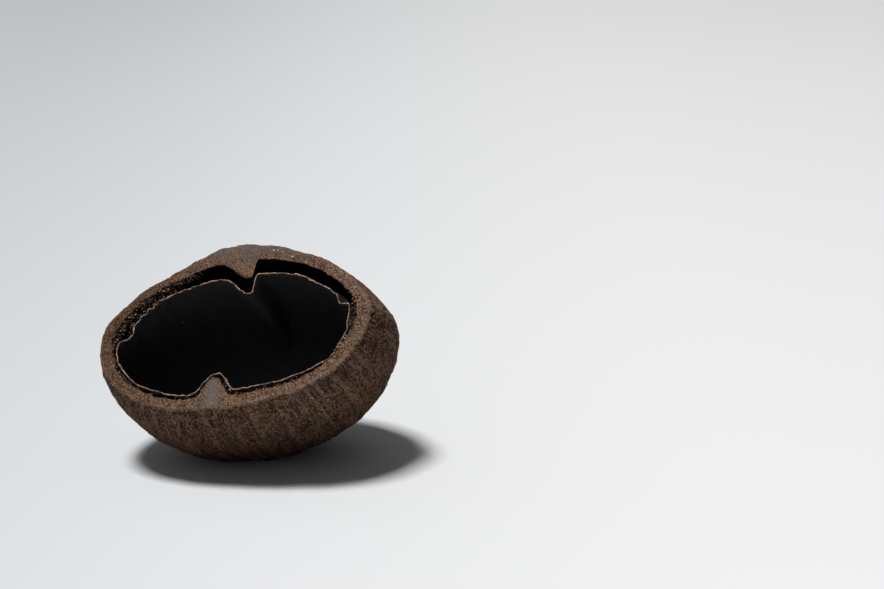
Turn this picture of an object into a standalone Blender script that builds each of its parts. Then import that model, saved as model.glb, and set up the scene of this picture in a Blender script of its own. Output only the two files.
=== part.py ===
"""A dried palm pod with its end sawn off, lying on its side with the opening tipped up.

Two pieces: the thick fibrous husk, an oval cup with two ribs inside it, and the thin inner shell, which has
shrunk away from the husk and hangs in folds over the ribs. Metres, +Z up, origin at the middle of the small flat
spot that the pod rests on. +X runs along the long side of the opening, which faces -Y and upwards.
"""

import itertools
import math

import bmesh
import bpy
import numpy as np
from mathutils import Vector

MM = 0.001

# The saw cut: how far its normal points above the level, how far it is turned to the left, and where its middle
# lies, from the rest spot.
OPENING_TILT = math.radians(40)
OPENING_TURN = math.radians(16)
OPENING_CENTRE = Vector((-2.8, -24.7, 59.2)) * MM

# The husk's outline at the cut: radii from the middle, by the angle from the right-hand end.
RIM_ANGLES = np.radians([5, 25, 50, 75, 100, 121, 136, 160, 176, 190, 203, 224, 250, 280, 300, 318, 341])
RIM_RADII = np.array(
    [51.4, 44.8, 36.8, 33.5, 32.7, 32.1, 33.7, 42.1, 49.7, 51.9, 49.5, 41.9, 34.0, 31.9, 33.9, 38.7, 46.4]
) * MM

# The body behind the cut: its depth, where it is widest, how blunt its end is, and how far its axis drifts
# to the right and down on the way to the end.
DEPTH = 70.0 * MM
WIDEST_AT = 0.28
BLUNTNESS = 2.15
DRIFT = np.array([2.9, -4.8]) * MM

# The beak where the stalk was, at the closed end.
BEAK_HEIGHT = 3.6 * MM
BEAK_RADIUS = 5.0 * MM

# The husk's wall, its worn corner at the cut, and the long shallow flutes and swellings of its outside.
WALL = 5.0 * MM
END_WALL = 8.5 * MM
WORN_CORNER = 0.6 * MM
FLUTE_COUNT = 19
FLUTE_HEIGHT = 0.2 * MM
SWELLING_HEIGHT = 0.6 * MM
LOWER_LEFT_FULLNESS = 2.3 * MM
RIGHT_FLATNESS = 1.5 * MM

# The soft ridge down the right side: its height, its angle and half width in degrees, and its middle and half
# length as shares of the depth.
SIDE_RIDGE = (1.5 * MM, 6, 7, 0.27, 0.19)

# The underside is a little fuller beneath the pod's weight: by how much, where from the rest spot, how far that
# reaches, and the heights between which it fades out.
REST_SWELLING = 2.4 * MM
REST_SWELLING_PLACE = Vector((15.2, -6.3)) * MM
REST_SWELLING_REACH = 18.0 * MM
REST_SWELLING_FADE = (8.0 * MM, 24.0 * MM)

# The inner shell: its thickness, and its middle surface's distance from the husk above, below and at the end.
SHELL_THICKNESS = 0.9 * MM
GAP_ABOVE = 5.3 * MM
GAP_BELOW = 1.6 * MM
GAP_AT_END = 0.9 * MM

# Ribs and folds, the upper one and then the lower one: height, which is down or up along the cut, the angle of
# the crest, then the width in degrees and the steepness of the side at smaller angles, and of the other side.
HUSK_RIBS = ((-7.2 * MM, 78.5, 4.7, 4, 16.2, 2.1), (7.3 * MM, 257, 9.0, 3, 8.2, 3))
SHELL_FOLDS = ((-7.8 * MM, 76, 6.5, 4, 16, 2.2), (7.3 * MM, 257.5, 11.6, 3, 10.4, 3))
RIB_FADES_FROM = 0.35

# Mesh fineness: points round each ring, how much closer they stand at the ribs and at the two ends of the oval,
# and rings down each surface.
POINTS_ROUND = 108
RIB_CLOSENESS = 1.7
END_CLOSENESS = 1.2
OUTSIDE_RINGS = 20
INSIDE_RINGS = 14

HUSK_COLOUR = (0.105, 0.062, 0.040, 1.0)
SHELL_COLOUR = (0.060, 0.038, 0.027, 1.0)


def smooth_step(value, start, stop):
    """0 before start, 1 after stop, and a smooth rise between them."""
    share = np.clip((value - start) / (stop - start), 0, 1)
    return share * share * (3 - 2 * share)


def angle_between(angle, middle):
    """The signed turn from middle, given in degrees, to angle."""
    return (angle - math.radians(middle) + math.pi) % (2 * math.pi) - math.pi


def hump(angle, middle, half_width):
    """A smooth hump of height 1 round the middle angle, both in degrees."""
    return np.exp(-((angle_between(angle, middle) / math.radians(half_width)) ** 2))


def raised(angle, ribs):
    """How far the ribs move the surface up along the cut at each angle."""
    total = np.zeros_like(angle)
    for height, crest, width, steepness, other_width, other_steepness in ribs:
        away = np.degrees(angle_between(angle, crest))
        low = np.exp(-((np.abs(away) / width) ** steepness))
        high = np.exp(-((np.abs(away) / other_width) ** other_steepness))
        total += height * np.where(away < 0, low, high)
    return total


def ring_angles():
    """Angles round a ring, closer together at the two ribs and at the kinks beside the oval's ends."""
    fine = np.linspace(0, 2 * math.pi, 3601)
    density = 1 + RIB_CLOSENESS * (hump(fine, 78, 26) + hump(fine, 256, 20))
    density += END_CLOSENESS * (hump(fine, 4, 10) + hump(fine, 178, 10))
    count = np.concatenate([[0], np.cumsum((density[1:] + density[:-1]) / 2)])
    return np.interp(np.arange(POINTS_ROUND) * count[-1] / POINTS_ROUND, count, fine)


def rim_radius(angle):
    """The husk's outline at the cut: a smooth closed curve through the rim's points."""
    knots = np.concatenate([RIM_ANGLES - 2 * math.pi, RIM_ANGLES, RIM_ANGLES + 2 * math.pi])
    radii = np.tile(RIM_RADII, 3)
    slopes = np.gradient(radii, knots)
    index = np.clip(np.searchsorted(knots, angle) - 1, 0, len(knots) - 2)
    step = knots[index + 1] - knots[index]
    t = (angle - knots[index]) / step
    return (
        (2 * t**3 - 3 * t**2 + 1) * radii[index]
        + (t**3 - 2 * t**2 + t) * step * slopes[index]
        + (3 * t**2 - 2 * t**3) * radii[index + 1]
        + (t**3 - t**2) * step * slopes[index + 1]
    )


def wall_thickness(angle):
    """The husk's wall: thicker at the upper rib, thinner at the upper left and on both sides of the lower rib."""
    thinner = 1.3 * MM * hump(angle, 148, 22) + 0.5 * MM * hump(angle, 300, 28) + 0.4 * MM * hump(angle, 222, 18)
    return WALL + 1.9 * MM * hump(angle, 85, 24) - thinner


def shell_gap(angle):
    """From the husk to the inner shell's middle surface: wide above, narrow below, with a kink at each end."""
    above = smooth_step(np.sin(angle), 0, 0.28 + 0.12 * np.cos(angle))
    beside_fold = 1.4 * MM * hump(angle, 101, 14) + 1.0 * MM * hump(angle, 61, 12)
    kinks = 1.9 * MM * hump(angle, 9, 4) + 1.4 * MM * hump(angle, 359, 5) + 3.6 * MM * hump(angle, 178.5, 4.5)
    below = 0.5 * MM * hump(angle, 300, 28) + 0.4 * MM * hump(angle, 222, 18)
    return GAP_BELOW + (GAP_ABOVE - GAP_BELOW) * above + beside_fold + kinks + below


def section_scale(share):
    """The size of the section at this share of the depth, against the section at the cut."""
    reach = 1 - WIDEST_AT
    at_cut = (1 - (WIDEST_AT / reach) ** BLUNTNESS) ** (1 / BLUNTNESS)
    inside = 1 - (np.abs(share - WIDEST_AT) / reach) ** BLUNTNESS
    return np.maximum(inside, 0) ** (1 / BLUNTNESS) / at_cut


def placed(across, up, depth):
    """A point of the pod, from its place on the cut and its depth behind it, in the object's own frame."""
    normal = Vector(
        (
            -math.sin(OPENING_TURN) * math.cos(OPENING_TILT),
            -math.cos(OPENING_TURN) * math.cos(OPENING_TILT),
            math.sin(OPENING_TILT),
        )
    )
    right = (Vector((1, 0, 0)) - normal * normal.x).normalized()
    top = normal.cross(right)
    drift = DRIFT * (depth / DEPTH)
    return OPENING_CENTRE + right * (across + drift[0]) + top * (up + drift[1]) - normal * depth


def ring(bm, angles, radii, depth, lift=0.0):
    """A ring of vertices. depth and lift, up along the cut, are one number, or one for each vertex."""
    depths = np.broadcast_to(depth, angles.shape)
    ups = radii * np.sin(angles) + lift
    return [bm.verts.new(placed(*place)) for place in zip(radii * np.cos(angles), ups, depths)]


def join_rings(bm, rings):
    """Quads between each ring and the next."""
    for first, second in zip(rings, rings[1:]):
        for i in range(len(first)):
            j = (i + 1) % len(first)
            bm.faces.new((first[i], first[j], second[j], second[i]))


def close_end(bm, last, tip):
    """Triangles from the last ring to the vertex at the end."""
    for i in range(len(last)):
        bm.faces.new((last[i], last[(i + 1) % len(last)], tip))


def depth_shares(count):
    """Shares of the depth for a surface's rings, closer together towards the round end."""
    return np.sin(np.linspace(0, math.pi / 2, count + 1)[:-1] ** 1.02)


def outside_relief(angle, share):
    """The swellings and long flutes of the outside, which run from the cut to the end and fade out there."""
    waves = SWELLING_HEIGHT * np.sin(3 * angle + 0.6)
    waves += LOWER_LEFT_FULLNESS * hump(angle, 236, 30) - RIGHT_FLATNESS * hump(angle, 352, 24)
    flutes = FLUTE_HEIGHT * np.sin(FLUTE_COUNT * angle + 1.4 * np.sin(3 * angle) + 0.8 * share)
    height, crest, width, middle, reach = SIDE_RIDGE
    ridge = height * hump(angle, crest, width) * math.exp(-(((share - middle) / reach) ** 2))
    return (waves * math.sin(math.pi * share) + flutes) * (1 - smooth_step(share, 0.7, 0.98)) + ridge


def fill_out_underside(rings):
    """Lowers the underside beneath the pod's weight, so that the flat spot comes to lie there."""
    for vertex in itertools.chain(*rings):
        away = (vertex.co.xy - REST_SWELLING_PLACE).length / REST_SWELLING_REACH
        fade = 1 - smooth_step(vertex.co.z, *REST_SWELLING_FADE)
        vertex.co.z -= REST_SWELLING * math.exp(-(away**2)) * fade


def husk_outside(bm, angles):
    """The outside's rings, from the cut to the beak."""
    rim = rim_radius(angles)
    rings = [ring(bm, angles, rim + outside_relief(angles, 0) - WORN_CORNER, 0)]
    for share in depth_shares(OUTSIDE_RINGS):
        radii = rim * section_scale(share) + outside_relief(angles, share)
        beak = BEAK_HEIGHT * np.exp(-((radii / BEAK_RADIUS) ** 2))
        rings.append(ring(bm, angles, radii, max(share * DEPTH, WORN_CORNER) + beak))
    fill_out_underside(rings)
    join_rings(bm, rings)
    close_end(bm, rings[-1], bm.verts.new(placed(0, 0, DEPTH + BEAK_HEIGHT)))
    return rings[0]


def ribbed_cup(bm, angles, base, ribs, reach):
    """The rings of a cup of that outline and depth, whose ribs sink away towards its closed end."""
    rings = []
    for share in depth_shares(INSIDE_RINGS):
        scale = section_scale(share)
        lift = raised(angles, ribs) * scale * (1 - smooth_step(share, RIB_FADES_FROM, 1))
        rings.append(ring(bm, angles, base * scale, share * reach, lift))
    join_rings(bm, rings)
    close_end(bm, rings[-1], bm.verts.new(placed(0, 0, reach)))
    return rings[0]


def cut_rest_spot(bm):
    """Planes the underside off level at the floor, which leaves the small flat spot that the pod rests on."""
    everything = bm.verts[:] + bm.edges[:] + bm.faces[:]
    cut = bmesh.ops.bisect_plane(bm, geom=everything, plane_co=(0, 0, 0), plane_no=(0, 0, -1), clear_outer=True)
    edges = [e for e in cut["geom_cut"] if isinstance(e, bmesh.types.BMEdge)]
    bmesh.ops.contextual_create(bm, geom=edges)


def finished_object(bm, name, colour, roughness):
    """The mesh as an object of that name, shaded smooth, with its own material."""
    bmesh.ops.recalc_face_normals(bm, faces=bm.faces[:])
    mesh = bpy.data.meshes.new(name)
    bm.to_mesh(mesh)
    bm.free()
    mesh.shade_smooth()
    mesh.set_sharp_from_angle(angle=math.radians(50))
    material = bpy.data.materials.new(name)
    material.use_nodes = True
    shader = material.node_tree.nodes["Principled BSDF"]
    shader.inputs["Base Color"].default_value = colour
    shader.inputs["Roughness"].default_value = roughness
    shader.inputs["Metallic"].default_value = 0.0
    mesh.materials.append(material)
    obj = bpy.data.objects.new(name, mesh)
    bpy.context.scene.collection.objects.link(obj)
    return obj


def make_husk():
    """The thick fibrous husk: a cup with a flat sawn rim, two ribs inside and a flat spot below."""
    bm = bmesh.new()
    angles = ring_angles()
    outer_edge = husk_outside(bm, angles)
    inner_edge = ribbed_cup(bm, angles, rim_radius(angles) - wall_thickness(angles), HUSK_RIBS, DEPTH - END_WALL)
    join_rings(bm, [outer_edge, inner_edge])
    bmesh.ops.recalc_face_normals(bm, faces=bm.faces[:])
    cut_rest_spot(bm)
    return finished_object(bm, "husk", HUSK_COLOUR, 0.9)


def make_inner_shell():
    """The thin inner shell: one sheet of even thickness, folded over the ribs and closed at its end."""
    bm = bmesh.new()
    angles = ring_angles()
    outline = rim_radius(angles) - wall_thickness(angles) - shell_gap(angles)
    ribbed_cup(bm, angles, outline, SHELL_FOLDS, DEPTH - END_WALL - GAP_AT_END)
    shell = finished_object(bm, "inner_shell", SHELL_COLOUR, 0.8)
    thickness = shell.modifiers.new("thickness", "SOLIDIFY")
    thickness.thickness = SHELL_THICKNESS
    thickness.offset = 0
    return shell


def main():
    for old in list(bpy.data.objects):
        bpy.data.objects.remove(old)
    make_husk()
    make_inner_shell()


main()
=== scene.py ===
"""The dried palm pod, dressed: its fibrous husk, its thin inner shell, and the loose bits round them.

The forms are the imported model's, rebuilt finely from the same named values, with the relief of the real
surfaces. Metres, +Z up. The opening faces -Y and upwards.
"""

import math

import bpy
import numpy as np
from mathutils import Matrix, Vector


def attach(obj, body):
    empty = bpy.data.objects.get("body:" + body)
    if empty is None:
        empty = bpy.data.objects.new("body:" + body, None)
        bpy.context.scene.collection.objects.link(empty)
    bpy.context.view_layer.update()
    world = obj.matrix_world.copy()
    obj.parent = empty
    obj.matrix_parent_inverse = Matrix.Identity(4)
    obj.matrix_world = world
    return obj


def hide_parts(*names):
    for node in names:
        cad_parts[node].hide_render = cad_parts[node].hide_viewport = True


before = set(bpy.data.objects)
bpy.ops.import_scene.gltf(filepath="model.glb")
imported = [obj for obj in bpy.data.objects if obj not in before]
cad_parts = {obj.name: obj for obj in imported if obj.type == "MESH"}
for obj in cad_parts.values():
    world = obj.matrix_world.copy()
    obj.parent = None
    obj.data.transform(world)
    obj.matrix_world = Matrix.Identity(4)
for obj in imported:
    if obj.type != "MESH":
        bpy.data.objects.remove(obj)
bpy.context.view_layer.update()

MM = 0.001

# The saw cut: how far its normal points above the level, how far it is turned to the left, and its middle.
OPENING_TILT = math.radians(40)
OPENING_TURN = math.radians(16)
OPENING_CENTRE = np.array([-2.8, -24.7, 59.2]) * MM

# The husk's outline at the cut: radii from the middle, by the angle from the right-hand end.
RIM_ANGLES = np.radians([5, 25, 50, 75, 100, 121, 136, 160, 176, 190, 203, 224, 250, 280, 300, 318, 341])
RIM_RADII = np.array(
    [51.4, 44.8, 36.8, 33.5, 32.7, 32.1, 33.7, 42.1, 49.7, 51.9, 49.5, 41.9, 34.0, 31.9, 33.9, 38.7, 46.4]
) * MM

# The body behind the cut: its depth, where it is widest, how blunt its end is, its axis's drift to the right
# and down on the way to the end, and its mean radius.
DEPTH = 70.0 * MM
WIDEST_AT = 0.28
BLUNTNESS = 2.15
DRIFT = np.array([2.9, -4.8]) * MM
MEAN_RADIUS = 41.0 * MM

# The beak at the closed end, the wall, and the long shallow forms of the outside.
BEAK_HEIGHT = 3.6 * MM
BEAK_RADIUS = 5.0 * MM
WALL = 5.0 * MM
END_WALL = 8.5 * MM
WORN_CORNER = 0.6 * MM
FLUTE_COUNT = 19
FLUTE_HEIGHT = 0.2 * MM
SWELLING_HEIGHT = 0.6 * MM
LOWER_LEFT_FULLNESS = 2.3 * MM
RIGHT_FLATNESS = 1.5 * MM

# The soft ridge down the right side: its height, its angle and half width in degrees, and its middle and half
# length as shares of the depth.
SIDE_RIDGE = (1.5 * MM, 6, 7, 0.27, 0.19)

# The fuller underside that the pod rests on: how far it comes down, its middle, its reach, and the heights
# between which it fades out.
REST_SWELLING = 2.4 * MM
REST_SWELLING_PLACE = np.array([15.2, -6.3]) * MM
REST_SWELLING_REACH = 18.0 * MM
REST_SWELLING_FADE = (8.0 * MM, 24.0 * MM)

# The inner shell: its thickness, and its middle surface's distance from the husk above, below and at the end.
SHELL_THICKNESS = 0.9 * MM
GAP_ABOVE = 5.3 * MM
GAP_BELOW = 1.6 * MM
GAP_AT_END = 0.9 * MM

# Ribs and folds, the upper one and then the lower one: height, which is down or up along the cut, the angle
# of the crest, then the width in degrees and the steepness of the side at smaller angles, and of the other.
HUSK_RIBS = ((-7.2 * MM, 78.5, 4.7, 4, 16.2, 2.1), (7.3 * MM, 257, 9.0, 3, 8.2, 3))
SHELL_FOLDS = ((-7.8 * MM, 76, 6.5, 4, 16, 2.2), (7.3 * MM, 257.5, 11.6, 3, 10.4, 3))
RIB_FADES_FROM = 0.35

# Mesh fineness of the husk and the shell: points round, rows down each part of the surface, and the depths in
# millimetres of further rows just below the cut.
HUSK_ROUND = 600
HUSK_OUTSIDE_ROWS = 128
HUSK_RIM_ROWS = 11
HUSK_INSIDE_ROWS = 14
HUSK_LIP_ROWS = (0.35, 0.8, 1.3, 1.9, 2.6, 3.4)
SHELL_ROUND = 520
SHELL_OUTER_ROWS = 34
SHELL_EDGE_ROWS = 3
SHELL_INNER_ROWS = 90
SHELL_LIP_ROWS = (0.2, 0.45, 0.8)

# The lip of the shell and the torn edge of the husk: how far they are ragged.
LIP_DIP = 0.35 * MM
TORN = 0.9 * MM

# Crumbs in the gap: how many, then for each place their share, the angles in degrees between which they lie,
# and from where to where across the gap they lie, 0 at the husk's wall and 1 at the shell's outer face.
CRUMB_COUNT = 2000
CRUMB_PLACES = (
    (0.46, 133, 206, -0.08, 0.45),
    (0.12, 138, 182, 0.80, 1.12),
    (0.26, 338, 370, 0.0, 1.0),
    (0.16, 206, 338, -0.05, 0.8),
)

# Loose fibres: how many lie along the outside, how many stick out of the sawn edge into the gap, and the
# number of points along each.
STRAND_COUNT = 1100
EDGE_FIBRE_COUNT = 220
FIBRE_STEPS = 6

# Pale flecks: how many are strewn, where along the rim its right end has more, and the places of those that
# stand out in the photograph: one inside the shell, seven on the sawn face and three on the bark.
FLECK_COUNT = 60
FLECK_END_COLUMN = 36
FLECK_PLACES = np.array(
    [
        (-25.0, 3.7, 51.5),
        (42.0, -24.7, 74.1),
        (14.8, -9.0, 82.9),
        (11.4, -7.9, 83.2),
        (13.0, -8.2, 83.3),
        (15.3, -9.8, 82.4),
        (16.6, -10.1, 82.3),
        (18.3, -11.1, 81.7),
        (10.0, -46.2, 38.9),
        (26.7, -42.5, 37.5),
        (24.5, -38.7, 30.7),
    ]
) * MM

# The bark is painted darker from this height down, as painted shade beneath the pod.
PAINTED_SHADE_BELOW = 34.0 * MM

# Colours of the bark, the sawn face, the husk's inside, the shell and the loose bits.
BARK_DARK = (0.0379, 0.0195, 0.0127)
BARK_MIDDLE = (0.0849, 0.0457, 0.0307)
BARK_WARM = (0.118, 0.0575, 0.0301)
BARK_GREY = (0.0784, 0.06, 0.0536)
BARK_FIBRE = (0.216, 0.131, 0.0915)
# The pits' colour, also the colour that the painted shade on the husk darkens towards.
BARK_PIT_AND_PAINTED_SHADE = (0.0162, 0.00683, 0.00403)
CUT_DARK = (0.042, 0.0228, 0.015)
CUT_MIDDLE = (0.0835, 0.0492, 0.0322)
CUT_LIGHT = (0.214, 0.144, 0.096)
CUT_WARM = (0.132, 0.0662, 0.0334)
# The worn corner's pale, also painted on the side ridge as a highlight.
WORN_AND_PAINTED_LIGHT_PALE = (0.162, 0.118, 0.0857)
CUT_GREY = (0.096, 0.0835, 0.0768)
INSIDE_DARK = (0.0045, 0.003, 0.0024)
INSIDE_BROWN = (0.036, 0.0216, 0.0144)
SHELL_DARK = (0.0165, 0.0162, 0.017)
SHELL_BROWN = (0.0287, 0.0236, 0.0225)
SHELL_BACK = (0.0072, 0.0051, 0.0042)
SHELL_EDGE = (0.324, 0.191, 0.12)
CRUMB_DARK = (0.006, 0.00372, 0.00282)
CRUMB_BROWN = (0.257, 0.167, 0.113)
FLECK_PALE = (0.4, 0.385, 0.36)

# The floor: half its width, its colours to the left, darker there as painted shade, and to the right, the
# direction of its bright side, and between which distances that way it changes colour.
FLOOR_HALF_WIDTH = 6.0
FLOOR_LEFT_PAINTED_SHADE = (0.378, 0.398, 0.415)
FLOOR_RIGHT = (0.555, 0.555, 0.555)
FLOOR_BRIGHT_SIDE = (1, 0, 0)
FLOOR_CHANGE = (-0.3, 0.22)

# The large soft light, high up, to the left and in front.
KEY_LIGHT_PLACE = (-0.98, -1.1, 4.4)
KEY_LIGHT_AIM = (0, 0, 0)
KEY_LIGHT_SIZE = 0.9
KEY_LIGHT_POWER = 322

# The soft light from all round: its colours on the dark and the bright side, the direction of the bright
# side, and how far a direction has to point that way for the one colour and for the other.
ROOM_DARK = (0.036, 0.037, 0.039)
ROOM_BRIGHT = (0.268, 0.272, 0.28)
ROOM_BRIGHT_SIDE = (-0.62, -0.10, 0.62)
ROOM_CHANGE = (-0.5, 0.85)

# The number of cells along each side of a block of noise, after which it repeats.
NOISE_CELLS = 64

# The camera: its place from the opening's middle, its pitch, and its lens.
CAMERA_OFFSET = np.array([76.5, -728.7, 234.8]) * MM
CAMERA_PITCH = math.radians(-17)
CAMERA_LENS = 85.0
CAMERA_SENSOR = 36.0

# The saw cut's directions: out of the opening, to the right along the cut, and up along it.
NORMAL = np.array(
    [
        -math.sin(OPENING_TURN) * math.cos(OPENING_TILT),
        -math.cos(OPENING_TURN) * math.cos(OPENING_TILT),
        math.sin(OPENING_TILT),
    ]
)
RIGHT = np.array([1.0, 0.0, 0.0]) - NORMAL * NORMAL[0]
RIGHT /= np.linalg.norm(RIGHT)
TOP = np.cross(NORMAL, RIGHT)


def smooth_step(value, start, stop):
    """0 before start, 1 after stop, and a smooth rise between them."""
    share = np.clip((value - start) / (stop - start), 0, 1)
    return share * share * (3 - 2 * share)


def angle_between(angle, middle):
    """The signed turn from middle, given in degrees, to angle."""
    return (angle - math.radians(middle) + math.pi) % (2 * math.pi) - math.pi


def hump(angle, middle, half_width):
    """A smooth hump of height 1 round the middle angle, both in degrees."""
    return np.exp(-((angle_between(angle, middle) / math.radians(half_width)) ** 2))


def raised(angle, ribs):
    """How far the ribs move the surface up along the cut at each angle."""
    total = np.zeros_like(angle)
    for height, crest, width, steepness, other_width, other_steepness in ribs:
        away = np.degrees(angle_between(angle, crest))
        low = np.exp(-((np.abs(away) / width) ** steepness))
        high = np.exp(-((np.abs(away) / other_width) ** other_steepness))
        total += height * np.where(away < 0, low, high)
    return total


def rim_radius(angle):
    """The husk's outline at the cut: a smooth closed curve through the rim's points."""
    knots = np.concatenate([RIM_ANGLES - 2 * math.pi, RIM_ANGLES, RIM_ANGLES + 2 * math.pi])
    radii = np.tile(RIM_RADII, 3)
    slopes = np.gradient(radii, knots)
    index = np.clip(np.searchsorted(knots, angle) - 1, 0, len(knots) - 2)
    step = knots[index + 1] - knots[index]
    t = (angle - knots[index]) / step
    return (
        (2 * t**3 - 3 * t**2 + 1) * radii[index]
        + (t**3 - 2 * t**2 + t) * step * slopes[index]
        + (3 * t**2 - 2 * t**3) * radii[index + 1]
        + (t**3 - t**2) * step * slopes[index + 1]
    )


def wall_thickness(angle):
    """The husk's wall: thicker at the upper rib, thinner at the upper left and beside the lower rib."""
    thinner = 1.3 * MM * hump(angle, 148, 22)
    thinner += 0.5 * MM * hump(angle, 300, 28)
    thinner += 0.4 * MM * hump(angle, 222, 18)
    return WALL + 1.9 * MM * hump(angle, 85, 24) - thinner


def shell_gap(angle):
    """From the husk to the shell's middle surface: wide above, narrow below, with a kink at each end."""
    above = smooth_step(np.sin(angle), 0, 0.28 + 0.12 * np.cos(angle))
    beside_fold = 1.4 * MM * hump(angle, 101, 14) + 1.0 * MM * hump(angle, 61, 12)
    right_kinks = 1.9 * MM * hump(angle, 9, 4) + 1.4 * MM * hump(angle, 359, 5)
    left_kink = 3.6 * MM * hump(angle, 178.5, 4.5)
    below = 0.5 * MM * hump(angle, 300, 28) + 0.4 * MM * hump(angle, 222, 18)
    widened = GAP_BELOW + (GAP_ABOVE - GAP_BELOW) * above + beside_fold
    return widened + (right_kinks + left_kink) + below


def section_scale(share):
    """The size of the section at this share of the depth, against the section at the cut."""
    reach = 1 - WIDEST_AT
    at_cut = (1 - (WIDEST_AT / reach) ** BLUNTNESS) ** (1 / BLUNTNESS)
    inside = 1 - (np.abs(share - WIDEST_AT) / reach) ** BLUNTNESS
    return np.maximum(inside, 0) ** (1 / BLUNTNESS) / at_cut


def placed(across, up, depth):
    """Points of the pod, from their places on the cut and their depths behind it."""
    drift = depth / DEPTH
    across = (across + DRIFT[0] * drift)[..., None]
    up = (up + DRIFT[1] * drift)[..., None]
    return OPENING_CENTRE + across * RIGHT + up * TOP - depth[..., None] * NORMAL


def even_angles(count):
    """Angles that stand evenly along the rim."""
    fine = np.linspace(0, 2 * math.pi, 7201)
    rim = rim_radius(fine)
    steps = np.hypot(np.diff(rim * np.cos(fine)), np.diff(rim * np.sin(fine)))
    length = np.concatenate([[0], np.cumsum(steps)])
    return np.interp(np.arange(count) * length[-1] / count, length, fine)


def even_shares(count):
    """Shares of the depth that stand evenly down the wall, from the cut to just short of the closed end."""
    fine = np.linspace(0, 1, 4001)
    steps = np.hypot(np.diff(MEAN_RADIUS * section_scale(fine)), np.diff(fine * DEPTH))
    length = np.concatenate([[0], np.cumsum(steps)])
    return np.interp(np.arange(count) * length[-1] / count, length, fine)


def lip_shares(count, reach, extra):
    """Even shares, and extra ones at those depths just below the lip."""
    return np.sort(np.concatenate([even_shares(count), np.array(extra) * MM / reach]))


def lattice_noise(points, size, seed):
    """Smooth noise from -1 to 1 at the points. size is its lumps' width, one number or one for each axis."""
    grid = np.random.default_rng(seed).uniform(-1, 1, (NOISE_CELLS, NOISE_CELLS, NOISE_CELLS))
    cells = points / size
    corner = np.floor(cells).astype(int)
    part = cells - corner
    part = part * part * (3 - 2 * part)
    total = np.zeros(points.shape[:-1])
    for i in (0, 1):
        for j in (0, 1):
            for k in (0, 1):
                weight = np.ones(points.shape[:-1])
                for axis, end in enumerate((i, j, k)):
                    weight = weight * (part[..., axis] if end else 1 - part[..., axis])
                at = (corner + (i, j, k)) % NOISE_CELLS
                total += weight * grid[at[..., 0], at[..., 1], at[..., 2]]
    return total


def grid_normals(points):
    """Unit normals of a grid of points that closes round its second axis."""
    along = np.gradient(points, axis=0)
    around = np.roll(points, -1, axis=1) - np.roll(points, 1, axis=1)
    normals = np.cross(along, around)
    return normals / np.maximum(np.linalg.norm(normals, axis=-1, keepdims=True), 1e-12)


def fill_out_underside(points):
    """Lowers the underside beneath the pod's weight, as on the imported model."""
    away = np.linalg.norm(points[..., :2] - REST_SWELLING_PLACE, axis=-1) / REST_SWELLING_REACH
    fade = 1 - smooth_step(points[..., 2], *REST_SWELLING_FADE)
    points[..., 2] -= REST_SWELLING * np.exp(-(away**2)) * fade


def outside_forms(angles, shares):
    """The long swellings and flutes of the outside at each share and angle."""
    waves = SWELLING_HEIGHT * np.sin(3 * angles + 0.6)
    waves += LOWER_LEFT_FULLNESS * hump(angles, 236, 30) - RIGHT_FLATNESS * hump(angles, 352, 24)
    bend = 1.4 * np.sin(3 * angles)
    flutes = FLUTE_HEIGHT * np.sin(FLUTE_COUNT * angles + bend + 0.8 * shares[:, None])
    fade = 1 - smooth_step(shares[:, None], 0.7, 0.98)
    height, crest, width, middle, reach = SIDE_RIDGE
    ridge = height * hump(angles, crest, width) * np.exp(-(((shares[:, None] - middle) / reach) ** 2))
    return (waves * np.sin(math.pi * shares[:, None]) + flutes) * fade + ridge


def outside_rows(angles):
    """The husk's outside without its fine relief, from just below the rim's corner to the closed end."""
    shares = even_shares(HUSK_OUTSIDE_ROWS)
    radii = rim_radius(angles) * section_scale(shares)[:, None] + outside_forms(angles, shares)
    beak = BEAK_HEIGHT * np.exp(-((radii / BEAK_RADIUS) ** 2))
    depths = np.maximum(shares * DEPTH, WORN_CORNER)[:, None] + beak
    points = placed(radii * np.cos(angles), radii * np.sin(angles), depths)
    fill_out_underside(points)
    return points


def cup_rows(angles, outline, ribs, reach, shares):
    """A ribbed cup's rows at those shares of its depth."""
    scale = section_scale(shares)[:, None]
    lift = raised(angles, ribs) * scale * (1 - smooth_step(shares[:, None], RIB_FADES_FROM, 1))
    radii = outline * scale
    depths = np.broadcast_to((shares * reach)[:, None], radii.shape)
    return placed(radii * np.cos(angles), radii * np.sin(angles) + lift, depths)


def rim_rows(angles):
    """The sawn face's rows, from the inner edge to the worn outer corner."""
    inner = rim_radius(angles) - wall_thickness(angles)
    outer = rim_radius(angles) + outside_forms(angles, np.zeros(1))[0] - WORN_CORNER
    inner_up = inner * np.sin(angles) + raised(angles, HUSK_RIBS)
    share = np.linspace(0, 1, HUSK_RIM_ROWS + 1)[1:, None]
    across = (1 - share) * inner * np.cos(angles) + share * outer * np.cos(angles)
    up = (1 - share) * inner_up + share * outer * np.sin(angles)
    return placed(across, up, np.zeros_like(across))


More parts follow.
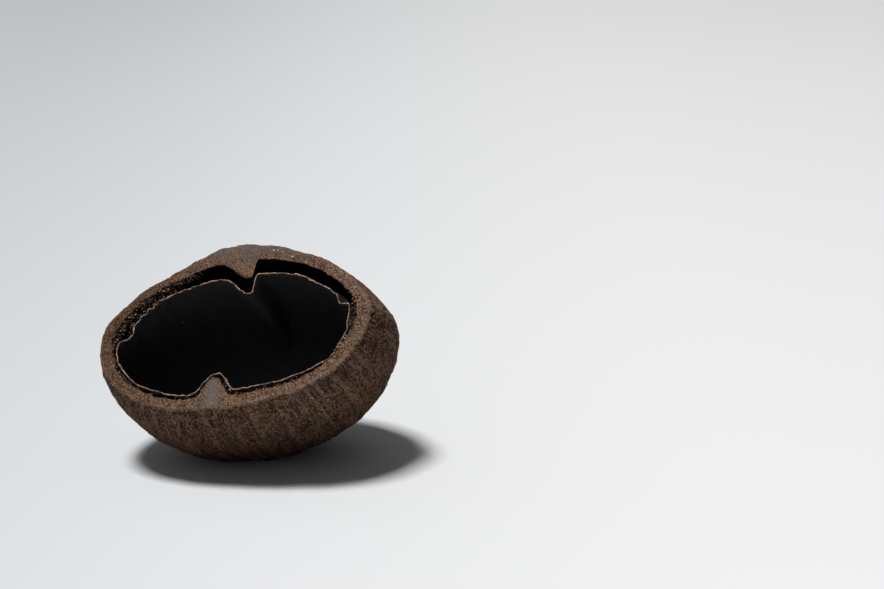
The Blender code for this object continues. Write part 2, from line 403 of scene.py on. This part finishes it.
def mesh_from_grid(name, points, first_tip, last_tip, attributes):
    """A closed mesh from rows that close round, with a tip at each end, and its named point attributes.

    Its faces point outwards, the way that grid_normals points.
    """
    rows, count = points.shape[:2]
    vertices = np.concatenate([points.reshape(-1, 3), [first_tip, last_tip]])
    ring = np.arange(count)
    after = (ring + 1) % count
    start = np.arange(rows - 1)[:, None] * count
    below = start + count
    quads = np.stack([start + ring, below + ring, below + after, start + after], -1).reshape(-1, 4)
    base = (rows - 1) * count
    first_fan = np.stack([ring, after, np.full(count, rows * count)], -1)
    last_fan = np.stack([base + after, base + ring, np.full(count, rows * count + 1)], -1)
    mesh = bpy.data.meshes.new(name)
    mesh.from_pydata(vertices.tolist(), [], quads.tolist() + first_fan.tolist() + last_fan.tolist())
    mesh.validate()
    for key, values in attributes.items():
        flat = values.reshape(rows * count, -1)
        flat = np.concatenate([flat, flat[:1], flat[-1:]])
        kind = "FLOAT_VECTOR" if flat.shape[1] == 3 else "FLOAT"
        field = "vector" if kind == "FLOAT_VECTOR" else "value"
        mesh.attributes.new(key, kind, "POINT").data.foreach_set(field, flat.ravel())
    mesh.shade_smooth()
    piece = bpy.data.objects.new(name, mesh)
    bpy.context.scene.collection.objects.link(piece)
    return piece


def grain_places(angles, rows_along):
    """Places for grain that runs down the pod: round a cylinder by the rim's length, and along it."""
    turn = np.arange(len(angles)) * 2 * math.pi / len(angles)
    around = np.stack([MEAN_RADIUS * np.cos(turn), MEAN_RADIUS * np.sin(turn)], -1)
    grid = np.zeros((len(rows_along), len(angles), 3))
    grid[..., :2] = around
    grid[..., 2] = rows_along[:, None]
    return grid


def row_lengths(points):
    """How far each row lies along the surface from the first."""
    steps = np.linalg.norm(np.diff(points, axis=0), axis=-1).mean(axis=1)
    return np.concatenate([[0], np.cumsum(steps)])


def tip_at(depth):
    """The point of the pod's axis at that depth."""
    return placed(np.zeros(1), np.zeros(1), np.array([depth]))[0]


def bark_relief(points, grain, from_cut, pits):
    """The bark's lumps, flatter near the cut, and its fibres, pits and crumbs. from_cut counts rows."""
    lumps = lattice_noise(points, 12 * MM, 1) * 0.32 * MM + lattice_noise(points, 4 * MM, 2) * 0.12 * MM
    lumps *= 0.4 + 0.6 * smooth_step(from_cut, 0, 14)
    long_fibres = lattice_noise(grain, np.array([1.7, 1.7, 18]) * MM, 3)
    short_fibres = lattice_noise(grain, np.array([1.0, 1.0, 5]) * MM, 4)
    crumb = lattice_noise(points, 0.8 * MM, 6)
    return lumps + (0.17 * long_fibres + 0.10 * short_fibres - 0.30 * pits + 0.10 * crumb) * MM


def sawn_relief(points):
    """The roughness of the sawn face."""
    return lattice_noise(points, 0.9 * MM, 7) * 0.09 * MM + lattice_noise(points, 3.5 * MM, 8) * 0.12 * MM


def torn_relief(points, angles):
    """The torn tissue of the husk's inside, roughest at the two ends of the gap."""
    at_ends = 0.4 + hump(angles, 165, 34) + hump(angles, 5, 22)
    torn = lattice_noise(points, 1.0 * MM, 9) * 0.45 + lattice_noise(points, 2.6 * MM, 10) * 0.45
    return torn * at_ends * MM


def ragged_edge(points, angles, from_edge):
    """How far the husk's inner edge stands out or in, raggedly. from_edge counts rows."""
    ragged = lattice_noise(points, 1.2 * MM, 31) * 0.6 + lattice_noise(points, 3.0 * MM, 32) * 0.4
    at_ends = 0.8 + hump(angles, 160, 40) + 0.8 * hump(angles, 5, 24)
    near_edge = np.exp(-((from_edge / 1.3) ** 2)) * TORN * at_ends
    outwards = RIGHT * np.cos(angles)[:, None] + TOP * np.sin(angles)[:, None]
    return outwards * (ragged * near_edge)[..., None]


def sawn_tones(angles, from_edge):
    """How grey the sawn face is, from the ribs' tissue, and how warm, near its inner edge."""
    outer = smooth_step(from_edge, 3, 7)
    upper_rib = (0.3 + 0.7 * outer) * (hump(angles, 92, 20) + 0.6 * hump(angles, 60, 16))
    grey = upper_rib + hump(angles, 257, 6)
    warm = 0.25 * np.exp(-((from_edge / 4.0) ** 2)) * (0.5 + 0.5 * hump(angles, 250, 80))
    warm = warm + 0.55 * (1 - outer) * hump(angles, 80, 9)
    return grey, warm


def wear_and_painted_light_tone(angles, from_cut, is_outside):
    """How pale the husk is: worn at the cut's outer corner, and painted light along the side ridge."""
    corner = np.exp(-(((from_cut + 1) / 2.2) ** 2)) * (0.2 + 0.6 * hump(angles, 330, 60))
    # Painted highlight: the side ridge's crest and the facet above it are painted paler, as if lit.
    along_ridge = np.exp(-(((from_cut - 22) / 16) ** 2)) * is_outside
    return np.maximum(corner, along_ridge * (hump(angles, 7, 2.5) + 0.75 * hump(angles, 20, 11)))


def painted_shade_and_dark_cut_tone(heights, angles, from_cut, is_outside, is_cut):
    """How dark the husk is painted: painted shade low down and at the lower right of the bark, and darker
    parts of the sawn face.
    """
    low = smooth_step(heights, PAINTED_SHADE_BELOW, 0) * is_outside
    # Painted shade low on the bark and at its lower right; the sawn face darker at its left and top.
    painted_shade_and_dark_cut = 0.8 * low + (0.38 * hump(angles, 174, 40) + 0.12 * hump(angles, 90, 45)) * is_cut
    return np.maximum(painted_shade_and_dark_cut, 0.3 * hump(angles, 335, 32) * smooth_step(from_cut, 12, 55))


def make_husk():
    """The husk: one closed skin from the inside's end over the sawn rim to the beak, with its relief."""
    angles = even_angles(HUSK_ROUND)
    inner = rim_radius(angles) - wall_thickness(angles)
    inside_shares = lip_shares(HUSK_INSIDE_ROWS, DEPTH - END_WALL, HUSK_LIP_ROWS)
    inside = cup_rows(angles, inner, HUSK_RIBS, DEPTH - END_WALL, inside_shares)[::-1]
    points = np.concatenate([inside, rim_rows(angles), outside_rows(angles)])
    cut_from, cut_to = len(inside) - 1, len(inside) + HUSK_RIM_ROWS
    row = np.arange(len(points))[:, None]
    from_edge, from_cut = row - cut_from, row - cut_to
    is_outside = np.broadcast_to(smooth_step(from_cut, -1.5, 0.5), points.shape[:2])
    is_inside = np.broadcast_to(1 - smooth_step(from_edge, -0.5, 1.0), points.shape[:2])
    is_cut = 1 - is_outside - is_inside

    grain = grain_places(angles, row_lengths(points))
    pits = smooth_step(lattice_noise(grain, np.array([1.0, 1.0, 1.6]) * MM, 5), 0.42, 0.75)
    relief = bark_relief(points, grain, from_cut, pits) * is_outside
    relief = relief + sawn_relief(points) * is_cut + torn_relief(points, angles) * is_inside
    edge = ragged_edge(points, angles, from_edge)
    points = points + grid_normals(points) * relief[..., None] + edge
    points[..., 2] = np.maximum(points[..., 2], 0)

    grey, warm = sawn_tones(angles, from_edge)
    crumbly = np.minimum(hump(angles, 168, 30) + hump(angles, 355, 16), 1)
    fields = {
        "grain": grain,
        # Painted shade low on the bark and at its lower right, and the sawn face's darker parts.
        "painted_shade_and_dark_cut": painted_shade_and_dark_cut_tone(points[..., 2], angles, from_cut, is_outside, is_cut),
        "cut": is_cut,
        "inside": is_inside,
        "pit": pits * is_outside,
        # worn holds the worn corner and the painted highlight along the side ridge.
        "worn": wear_and_painted_light_tone(angles, from_cut, is_outside),
        "grey": grey * is_cut,
        "warm": warm * is_cut,
        "crumbly": np.broadcast_to(crumbly, points.shape[:2]),
    }
    piece = mesh_from_grid("pod_husk", points, tip_at(DEPTH - END_WALL), tip_at(DEPTH + BEAK_HEIGHT), fields)
    return piece, points[cut_from:cut_to], points[cut_to:]


def shell_sheet(angles, shares, reach):
    """The shell's middle surface at those shares, gently waved and with a ragged, dipping lip."""
    middle = rim_radius(angles) - wall_thickness(angles) - shell_gap(angles)
    sheet = cup_rows(angles, middle, SHELL_FOLDS, reach, shares)
    waves = lattice_noise(sheet, 5 * MM, 21) * 0.22 * MM + lattice_noise(sheet, 1.8 * MM, 22) * 0.08 * MM
    lip = np.exp(-((shares * reach / (2.5 * MM)) ** 2))[:, None]
    torn = lattice_noise(sheet, 1.7 * MM, 24) * 0.34 + lattice_noise(sheet, 0.8 * MM, 27) * 0.14
    waves += lip * torn * MM
    right_fold = 0.8 * hump(angles, 5.8, 1.5) - 1.0 * hump(angles, 8.6, 1.5)
    waves += lip * MM * right_fold
    waves -= lip * MM * 1.6 * hump(angles, 179.3, 2.6)
    waves += lip * lattice_noise(sheet, 1.1 * MM, 28) * 0.6 * MM * hump(angles, 162, 15)
    sheet = sheet + grid_normals(sheet) * waves[..., None]
    uneven = 1 + 0.8 * lattice_noise(sheet[0], 2.2 * MM, 23) + 0.5 * lattice_noise(sheet[0], 0.9 * MM, 25)
    dip = LIP_DIP * (0.55 + 0.45 * np.sin(angles)) * uneven
    dip = dip + 2.0 * MM * hump(angles, 338, 8) + 0.7 * MM * hump(angles, 172, 4)
    return sheet - NORMAL * (lip * dip)[..., None]


def make_shell():
    """The inner shell: one closed skin, down its inner face, over its broken edge and down its outer face."""
    angles = even_angles(SHELL_ROUND)
    reach = DEPTH - END_WALL - GAP_AT_END
    faces = []
    for count, side in ((SHELL_INNER_ROWS, -1), (SHELL_OUTER_ROWS, 1)):
        shares = lip_shares(count, reach, SHELL_LIP_ROWS)
        sheet = shell_sheet(angles, shares, reach)
        near_lip = np.exp(-shares * reach / (1.5 * MM))[:, None]
        thin = 1 - (0.52 + 0.28 * lattice_noise(sheet, 1.5 * MM, 26)) * near_lip
        faces.append(sheet + grid_normals(sheet) * (side * SHELL_THICKNESS / 2 * thin)[..., None])
    inner, outer = faces
    share = np.linspace(0, 1, SHELL_EDGE_ROWS + 2)[1:-1, None, None]
    edge = inner[0] * (1 - share) + outer[0] * share + NORMAL * 0.12 * MM * np.sin(math.pi * share)
    points = np.concatenate([inner[::-1], edge, outer])
    lengths = row_lengths(points)
    from_lip = np.abs(lengths - lengths[len(inner) + 1])
    near_edge = np.exp(-((from_lip / (0.27 * MM)) ** 2))[:, None]
    is_back = smooth_step(np.arange(len(points)), len(inner) + 1, len(inner) + 4)[:, None]
    fields = {
        "grain": grain_places(angles, lengths),
        "edge": np.broadcast_to(near_edge, points.shape[:2]),
        "back": np.broadcast_to(is_back, points.shape[:2]),
    }
    tip = tip_at(reach)
    half = NORMAL * SHELL_THICKNESS / 2
    return mesh_from_grid("pod_inner_shell", points, tip + half, tip - half, fields)


def mesh_of_bits(name, shapes, faces, tones):
    """One mesh of many small bits with the same faces, each with its own tone. None is below the floor."""
    above_floor = shapes[..., 2].min(axis=1) > 0.1 * MM
    shapes, tones = shapes[above_floor], tones[above_floor]
    count, size = shapes.shape[:2]
    every = faces[None] + np.arange(count)[:, None, None] * size
    mesh = bpy.data.meshes.new(name)
    mesh.from_pydata(shapes.reshape(-1, 3).tolist(), [], every.reshape(-1, faces.shape[1]).tolist())
    mesh.validate()
    mesh.attributes.new("tone", "FLOAT", "POINT").data.foreach_set("value", np.repeat(tones, size))
    piece = bpy.data.objects.new(name, mesh)
    bpy.context.scene.collection.objects.link(piece)
    return piece


def crumb_shapes(rng, centres, sizes):
    """Rough lumps with twelve corners and twenty faces at those places."""
    golden = (1 + math.sqrt(5)) / 2
    corners = []
    for first in (-1, 1):
        for second in (-golden, golden):
            corners += [(0, first, second), (first, second, 0), (second, 0, first)]
    corners = np.array(corners) / math.hypot(1, golden)
    longest_side = 1.2
    faces = []
    for i in range(len(corners)):
        for j in range(i):
            for k in range(j):
                sides = [np.linalg.norm(corners[a] - corners[b]) for a, b in ((i, j), (j, k), (k, i))]
                normal = np.cross(corners[j] - corners[i], corners[k] - corners[i])
                if max(sides) < longest_side:
                    faces.append((i, j, k) if np.dot(normal, corners[i]) > 0 else (i, k, j))
    rough = rng.uniform(0.45, 1.35, (len(centres), len(corners), 1))
    squash = rng.uniform(0.4, 1.5, (len(centres), 1, 3))
    shapes = centres[:, None] + corners[None] * rough * squash * sizes[:, None, None]
    return shapes, np.array(faces)


def gap_place(angles, share, depth):
    """Points in the gap: share 0 is at the husk's wall and 1 at the shell's outer face."""
    wall = rim_radius(angles) - wall_thickness(angles)
    face = wall - shell_gap(angles) + SHELL_THICKNESS / 2
    across = ((1 - share) * wall + share * face) * np.cos(angles)
    wall_up = wall * np.sin(angles) + raised(angles, HUSK_RIBS)
    face_up = face * np.sin(angles) + raised(angles, SHELL_FOLDS)
    return placed(across, (1 - share) * wall_up + share * face_up, depth)


def make_crumbs():
    """Crumbs of torn, dark tissue that cling to the husk's wall and the shell, most at the gap's ends; the
    deeper ones get painted shade.
    """
    rng = np.random.default_rng(41)
    angles, across = [], []
    for share, first, last, start, stop in CRUMB_PLACES:
        count = int(CRUMB_COUNT * share)
        angles.append((first + last) / 2 + (last - first) * (rng.beta(2, 2, count) - 0.5))
        across.append(start + (stop - start) * rng.uniform(0, 1, count) ** 1.7)
    angles = np.radians(np.concatenate(angles)) % (2 * math.pi)
    across = np.concatenate(across)
    deeper = rng.uniform(0, 1, len(angles)) ** 1.5
    sizes = rng.uniform(0.13, 0.45, len(angles)) * MM
    shapes, faces = crumb_shapes(rng, gap_place(angles, across, (0.25 + 4.5 * deeper) * MM), sizes)
    # Painted shade: the deeper a crumb lies in the gap, the darker its tone.
    tones = rng.uniform(0, 1, len(angles)) ** 3 * (1 - 0.9 * deeper)
    return mesh_of_bits("pod_gap_crumbs", shapes, faces, tones)


def strand_shapes(paths, normals, radii):
    """Thin three-sided strands along the paths, tapered towards both ends."""
    count, steps = paths.shape[:2]
    along = np.gradient(paths, axis=1)
    side = np.cross(along, normals)
    side /= np.maximum(np.linalg.norm(side, axis=-1, keepdims=True), 1e-12)
    taper = np.sin(np.linspace(0.12 * math.pi, 0.88 * math.pi, steps))[None, :, None] * radii[:, None, None]
    turns = np.radians([90, 210, 330])
    corners = [paths + taper * (side * math.cos(turn) + normals * math.sin(turn)) for turn in turns]
    return np.stack(corners, axis=2).reshape(count, steps * 3, 3)


def strand_faces():
    """The faces of a strand: its three sides in triangles, and a triangle at each end."""
    faces = [(0, 1, 2)]
    for step in range(FIBRE_STEPS - 1):
        for k in range(3):
            a, b = step * 3 + k, step * 3 + (k + 1) % 3
            faces += [(a, a + 3, b + 3), (a, b + 3, b)]
    last = FIBRE_STEPS * 3 - 3
    faces.append((last, last + 2, last + 1))
    return np.array(faces)


def lying_fibres(rng, bark):
    """Fibres that lie along the outside, slightly lifted. Each of their steps is at least one row long."""
    rows, count = bark.shape[:2]
    row = rng.integers(1, int(rows * 0.9), STRAND_COUNT)
    reach = np.maximum(rng.integers(4, 15, STRAND_COUNT), FIBRE_STEPS - 1)
    column = rng.uniform(0, count, STRAND_COUNT)
    lean = rng.normal(0, 1.6, STRAND_COUNT)
    share = np.linspace(0, 1, FIBRE_STEPS)
    at_row = np.minimum(row[:, None] + (reach[:, None] * share).round().astype(int), rows - 1)
    at_column = (column[:, None] + lean[:, None] * share).round().astype(int) % count
    lift = rng.uniform(-0.05, 0.28, STRAND_COUNT)[:, None] * np.sin(math.pi * share) * MM
    normals = grid_normals(bark)[at_row, at_column]
    paths = bark[at_row, at_column] + normals * lift[..., None]
    return strand_shapes(paths, normals, rng.uniform(0.05, 0.15, STRAND_COUNT) * MM)


def edge_fibres(rng):
    """Short fibres that stick out of the sawn edge into the gap."""
    half = EDGE_FIBRE_COUNT // 2
    right_and_below = rng.uniform(200, 375, half)
    left = rng.uniform(120, 215, EDGE_FIBRE_COUNT - half)
    angles = np.radians(np.concatenate([right_and_below, left]))
    start = gap_place(angles, np.full(len(angles), -0.12), rng.uniform(0.0, 0.8, len(angles)) * MM)
    stop = gap_place(
        angles + rng.normal(0, 0.02, len(angles)),
        rng.uniform(0.1, 0.55, len(angles)),
        rng.uniform(-0.2, 1.8, len(angles)) * MM,
    )
    share = np.linspace(0, 1, FIBRE_STEPS)
    paths = start[:, None] + (stop - start)[:, None] * share[None, :, None]
    paths += rng.normal(0, 0.22, (len(angles), 1, 3)) * MM * np.sin(math.pi * share)[None, :, None]
    upwards = np.broadcast_to(NORMAL, paths.shape)
    return strand_shapes(paths, upwards, rng.uniform(0.05, 0.11, len(angles)) * MM)


def make_fibres(bark):
    """Fibres that lie along the outside, and short ones that stick out of the sawn edge."""
    rng = np.random.default_rng(42)
    lying = lying_fibres(rng, bark)
    sticking = edge_fibres(rng)
    tones = np.concatenate([rng.uniform(0.45, 1.0, len(lying)), rng.uniform(0.1, 0.9, len(sticking))])
    return mesh_of_bits("pod_fibres", np.concatenate([lying, sticking]), strand_faces(), tones)


def make_flecks(rim, bark):
    """Tiny pale flecks: strewn over the bark, near the rim's right end, and those that stand out."""
    rng = np.random.default_rng(43)
    row = rng.integers(2, int(bark.shape[0] * 0.8), FLECK_COUNT)
    column = rng.integers(0, bark.shape[1], FLECK_COUNT)
    end_row = rng.integers(0, len(rim), FLECK_COUNT // 2)
    end_column = rng.normal(FLECK_END_COLUMN, 14, FLECK_COUNT // 2).astype(int) % rim.shape[1]
    strewn = np.concatenate([bark[row, column], rim[end_row, end_column]])
    sizes = np.concatenate([rng.uniform(0.12, 0.27, len(strewn)), rng.uniform(0.32, 0.42, len(FLECK_PLACES))])
    shapes, faces = crumb_shapes(rng, np.concatenate([strewn, FLECK_PLACES]), sizes * MM)
    return mesh_of_bits("pod_flecks", shapes, faces, rng.uniform(0.2, 1, len(shapes)))


def make(tree, kind, inputs=None, **settings):
    """A node of that kind, with its settings and its inputs, each a value or another node's output."""
    made = tree.nodes.new(kind)
    for name, value in settings.items():
        setattr(made, name, value)
    for name, value in (inputs or {}).items():
        if isinstance(value, bpy.types.NodeSocket):
            tree.links.new(value, made.inputs[name])
        else:
            made.inputs[name].default_value = value
    return made


def attribute(tree, name):
    """The named point attribute, as a number."""
    return make(tree, "ShaderNodeAttribute", attribute_name=name).outputs["Fac"]


def stretched(tree, vector, scale):
    """A vector times a scale for each axis."""
    return make(tree, "ShaderNodeMapping", {"Vector": vector, "Scale": scale}).outputs["Vector"]


def noise(tree, vector, scale, detail=2.0, roughness=0.55):
    """Noise at that scale, per metre."""
    inputs = {"Vector": vector, "Scale": scale, "Detail": detail, "Roughness": roughness}
    return make(tree, "ShaderNodeTexNoise", inputs).outputs["Fac"]


def between(tree, value, low, high, to_low=0.0, to_high=1.0):
    """The value, brought from low and high to to_low and to_high, with soft ends."""
    inputs = {"Value": value, "From Min": low, "From Max": high, "To Min": to_low, "To Max": to_high}
    return make(tree, "ShaderNodeMapRange", inputs, interpolation_type="SMOOTHSTEP").outputs["Result"]


def maths(tree, operation, first, second):
    """Two numbers put together by that operation."""
    made = make(tree, "ShaderNodeMath", operation=operation)
    for index, value in enumerate((first, second)):
        if isinstance(value, bpy.types.NodeSocket):
            tree.links.new(value, made.inputs[index])
        else:
            made.inputs[index].default_value = value
    return made.outputs[0]


def dot_product(tree, vector, direction):
    """How far a vector goes along a direction."""
    inputs = {0: vector, 1: direction}
    return make(tree, "ShaderNodeVectorMath", inputs, operation="DOT_PRODUCT").outputs["Value"]


def mixed(tree, share, first, second):
    """Two colours mixed by share."""
    made = make(tree, "ShaderNodeMix", data_type="RGBA")
    for index, value in ((0, share), (6, first), (7, second)):
        if isinstance(value, bpy.types.NodeSocket):
            tree.links.new(value, made.inputs[index])
        else:
            made.inputs[index].default_value = value if index == 0 else (*value, 1.0)
    return made.outputs[2]


def layered(tree, base, layers):
    """A colour with layers over it, each from where its value is low to where it is high, up to a share."""
    for value, low, high, share, colour in layers:
        base = mixed(tree, between(tree, value, low, high, 0, share), base, colour)
    return base


def new_material(name, roughness, specular):
    """A material with its node tree and shader."""
    material = bpy.data.materials.new(name)
    material.use_nodes = True
    tree = material.node_tree
    shader = tree.nodes["Principled BSDF"]
    shader.inputs["Roughness"].default_value = roughness
    shader.inputs["Specular IOR Level"].default_value = specular
    return material, tree, shader


def bark_colour(tree, grain, place):
    """The outside: dark brown, with light fibres that run down it, dark pits and cloudy patches."""
    cloudy = noise(tree, place, 170, 4, 0.6)
    hue = noise(tree, place, 75, 3)
    felt = noise(tree, stretched(tree, grain, (1800, 1800, 900)), 1, 3, 0.65)
    streak = noise(tree, stretched(tree, grain, (620, 620, 60)), 1, 2, 0.5)
    long_streak = noise(tree, stretched(tree, grain, (520, 520, 26)), 1, 1, 0.4)
    fine_streak = noise(tree, stretched(tree, grain, (1500, 1500, 130)), 1, 2, 0.6)
    spots = noise(tree, stretched(tree, grain, (1150, 1150, 800)), 1, 1, 0.5)
    base = mixed(tree, between(tree, cloudy, 0.35, 0.65), BARK_DARK, BARK_MIDDLE)
    layers = (
        (hue, 0.45, 0.64, 0.75, BARK_WARM),
        (hue, 0.46, 0.32, 0.45, BARK_GREY),
        (felt, 0.51, 0.62, 0.55, BARK_FIBRE),
        (felt, 0.48, 0.38, 0.7, BARK_PIT_AND_PAINTED_SHADE),
        (fine_streak, 0.52, 0.62, 0.4, BARK_FIBRE),
        (streak, 0.55, 0.64, 0.3, BARK_FIBRE),
        (long_streak, 0.57, 0.63, 0.55, BARK_FIBRE),
        (felt, 0.50, 0.42, 0.45, BARK_PIT_AND_PAINTED_SHADE),
    )
    base = layered(tree, base, layers)
    pit = maths(tree, "MULTIPLY", attribute(tree, "pit"), 0.9)
    dark = maths(tree, "MAXIMUM", pit, between(tree, spots, 0.56, 0.61, 0, 0.9))
    base = mixed(tree, dark, base, BARK_PIT_AND_PAINTED_SHADE)
    grains = between(tree, noise(tree, place, 2200, 1), 0.64, 0.72, 0, 0.6)
    return mixed(tree, grains, base, CUT_LIGHT)


def cut_colour(tree, place):
    """The sawn face: warm brown, speckled by fibre ends, with the grey tissue of the two ribs."""
    speckle = noise(tree, place, 1750, 3, 0.7)
    patch = noise(tree, place, 260, 2)
    hue = noise(tree, place, 420, 3, 0.6)
    base = mixed(tree, between(tree, patch, 0.35, 0.65), CUT_MIDDLE, CUT_DARK)
    base = layered(tree, base, ((hue, 0.48, 0.66, 0.5, CUT_WARM),))
    base = mixed(tree, attribute(tree, "warm"), base, CUT_WARM)
    layers = (
        (speckle, 0.51, 0.62, 0.85, CUT_LIGHT),
        (speckle, 0.48, 0.38, 0.9, BARK_PIT_AND_PAINTED_SHADE),
        (speckle, 0.46, 0.34, 0.6, BARK_PIT_AND_PAINTED_SHADE),
    )
    base = layered(tree, base, layers)
    grey = maths(tree, "MULTIPLY", attribute(tree, "grey"), between(tree, patch, 0.35, 0.6, 0.15, 0.82))
    return mixed(tree, grey, base, CUT_GREY)


def husk_material():
    """The husk: bark outside, the sawn face, and near black inside."""
    material, tree, shader = new_material("husk_fibre", 0.95, 0.04)
    grain = make(tree, "ShaderNodeAttribute", attribute_name="grain").outputs["Vector"]
    place = make(tree, "ShaderNodeTexCoord").outputs["Object"]
    colour = mixed(tree, attribute(tree, "cut"), bark_colour(tree, grain, place), cut_colour(tree, place))
    # Paler at the worn corner, and painted light along the side ridge.
    pale_patches = between(tree, noise(tree, place, 900, 3, 0.7), 0.40, 0.6)
    pale = maths(tree, "MULTIPLY", attribute(tree, "worn"), pale_patches)
    colour = mixed(tree, pale, colour, WORN_AND_PAINTED_LIGHT_PALE)
    # Painted shade: darker low on the bark and at its lower right, and on parts of the sawn face.
    colour = mixed(tree, attribute(tree, "painted_shade_and_dark_cut"), colour, BARK_PIT_AND_PAINTED_SHADE)
    torn_patches = between(tree, noise(tree, place, 1100, 3, 0.7), 0.48, 0.62)
    brown = maths(tree, "MULTIPLY", attribute(tree, "crumbly"), torn_patches)
    inner = mixed(tree, brown, INSIDE_DARK, INSIDE_BROWN)
    tree.links.new(mixed(tree, attribute(tree, "inside"), colour, inner), shader.inputs["Base Color"])
    crumbs = noise(tree, place, 1300, 4, 0.75)
    fibres = noise(tree, stretched(tree, grain, (1500, 1500, 160)), 1)
    rough = maths(tree, "ADD", crumbs, fibres)
    bump = make(tree, "ShaderNodeBump", {"Height": rough, "Strength": 0.8, "Distance": 0.35 * MM})
    tree.links.new(bump.outputs["Normal"], shader.inputs["Normal"])
    return material


def shell_material():
    """The inner shell: dark and dull on both faces, light brown along its broken edge."""
    material, tree, shader = new_material("inner_shell", 0.65, 0.35)
    grain = make(tree, "ShaderNodeAttribute", attribute_name="grain").outputs["Vector"]
    place = make(tree, "ShaderNodeTexCoord").outputs["Object"]
    mottle = noise(tree, stretched(tree, grain, (260, 260, 60)), 1, 3)
    colour = mixed(tree, between(tree, mottle, 0.40, 0.70), SHELL_DARK, SHELL_BROWN)
    colour = mixed(tree, attribute(tree, "back"), colour, SHELL_BACK)
    broken = between(tree, noise(tree, place, 900, 3, 0.7), 0.38, 0.62, 0.1, 1)
    worn = maths(tree, "MULTIPLY", attribute(tree, "edge"), broken)
    tree.links.new(mixed(tree, worn, colour, SHELL_EDGE), shader.inputs["Base Color"])
    rough = noise(tree, place, 1100, 3)
    bump = make(tree, "ShaderNodeBump", {"Height": rough, "Strength": 0.5, "Distance": 0.2 * MM})
    tree.links.new(bump.outputs["Normal"], shader.inputs["Normal"])
    return material


def bits_material(name, dark, light):
    """Loose bits of fibre: each of its own tone between dark and light."""
    material, tree, shader = new_material(name, 0.9, 0.2)
    tree.links.new(mixed(tree, attribute(tree, "tone"), dark, light), shader.inputs["Base Color"])
    return material


def make_floor():
    """A wide pale floor, painted darker towards the left as shade."""
    mesh = bpy.data.meshes.new("floor")
    far = FLOOR_HALF_WIDTH
    mesh.from_pydata([(-far, -far, 0), (far, -far, 0), (far, far, 0), (-far, far, 0)], [], [(0, 1, 2, 3)])
    floor = bpy.data.objects.new("floor", mesh)
    bpy.context.scene.collection.objects.link(floor)
    material, tree, shader = new_material("floor", 0.9, 0.1)
    place = make(tree, "ShaderNodeTexCoord").outputs["Object"]
    towards = dot_product(tree, place, FLOOR_BRIGHT_SIDE)
    # Painted shade: the floor's colour darkens towards the left.
    tone = between(tree, towards, *FLOOR_CHANGE)
    tree.links.new(mixed(tree, tone, FLOOR_LEFT_PAINTED_SHADE, FLOOR_RIGHT), shader.inputs["Base Color"])
    mesh.materials.append(material)


def make_key_light():
    """The large soft light."""
    light = bpy.data.lights.new("key", "AREA")
    light.shape = "SQUARE"
    light.size = KEY_LIGHT_SIZE
    light.energy = KEY_LIGHT_POWER
    lamp = bpy.data.objects.new("key", light)
    bpy.context.scene.collection.objects.link(lamp)
    lamp.location = KEY_LIGHT_PLACE
    towards_pod = Vector(KEY_LIGHT_AIM) - Vector(KEY_LIGHT_PLACE)
    lamp.rotation_euler = towards_pod.to_track_quat("-Z", "Y").to_euler()


def make_room_light():
    """The soft light from all round, brighter from above on the left."""
    world = bpy.data.worlds.new("studio")
    world.use_nodes = True
    tree = world.node_tree
    way = make(tree, "ShaderNodeTexCoord").outputs["Generated"]
    facing = dot_product(tree, way, ROOM_BRIGHT_SIDE)
    colour = mixed(tree, between(tree, facing, *ROOM_CHANGE), ROOM_DARK, ROOM_BRIGHT)
    tree.links.new(colour, tree.nodes["Background"].inputs["Color"])
    bpy.context.scene.world = world


def make_camera():
    """The camera at the photograph's height and angle."""
    data = bpy.data.cameras.new("camera")
    data.lens = CAMERA_LENS
    data.sensor_width = CAMERA_SENSOR
    data.clip_start = 0.01
    camera = bpy.data.objects.new("camera", data)
    bpy.context.scene.collection.objects.link(camera)
    camera.location = OPENING_CENTRE + CAMERA_OFFSET
    camera.rotation_euler = (math.pi / 2 + CAMERA_PITCH, 0, 0)
    bpy.context.scene.camera = camera


make_camera()
husk, rim_grid, bark_grid = make_husk()
husk.data.materials.append(husk_material())
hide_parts("husk")
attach(husk, "root")
crumbs = make_crumbs()
crumbs.data.materials.append(bits_material("gap_crumbs", CRUMB_DARK, CRUMB_BROWN))
fibres = make_fibres(bark_grid)
fibres.data.materials.append(bits_material("loose_fibres", BARK_DARK, BARK_FIBRE))
flecks = make_flecks(rim_grid, bark_grid)
flecks.data.materials.append(bits_material("pale_flecks", CUT_LIGHT, FLECK_PALE))
for bits in (crumbs, fibres, flecks):
    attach(bits, "root")
shell = make_shell()
shell.data.materials.append(shell_material())
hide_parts("inner_shell")
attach(shell, "root")
make_floor()
make_room_light()
make_key_light()
bpy.context.scene.view_settings.view_transform = "Standard"
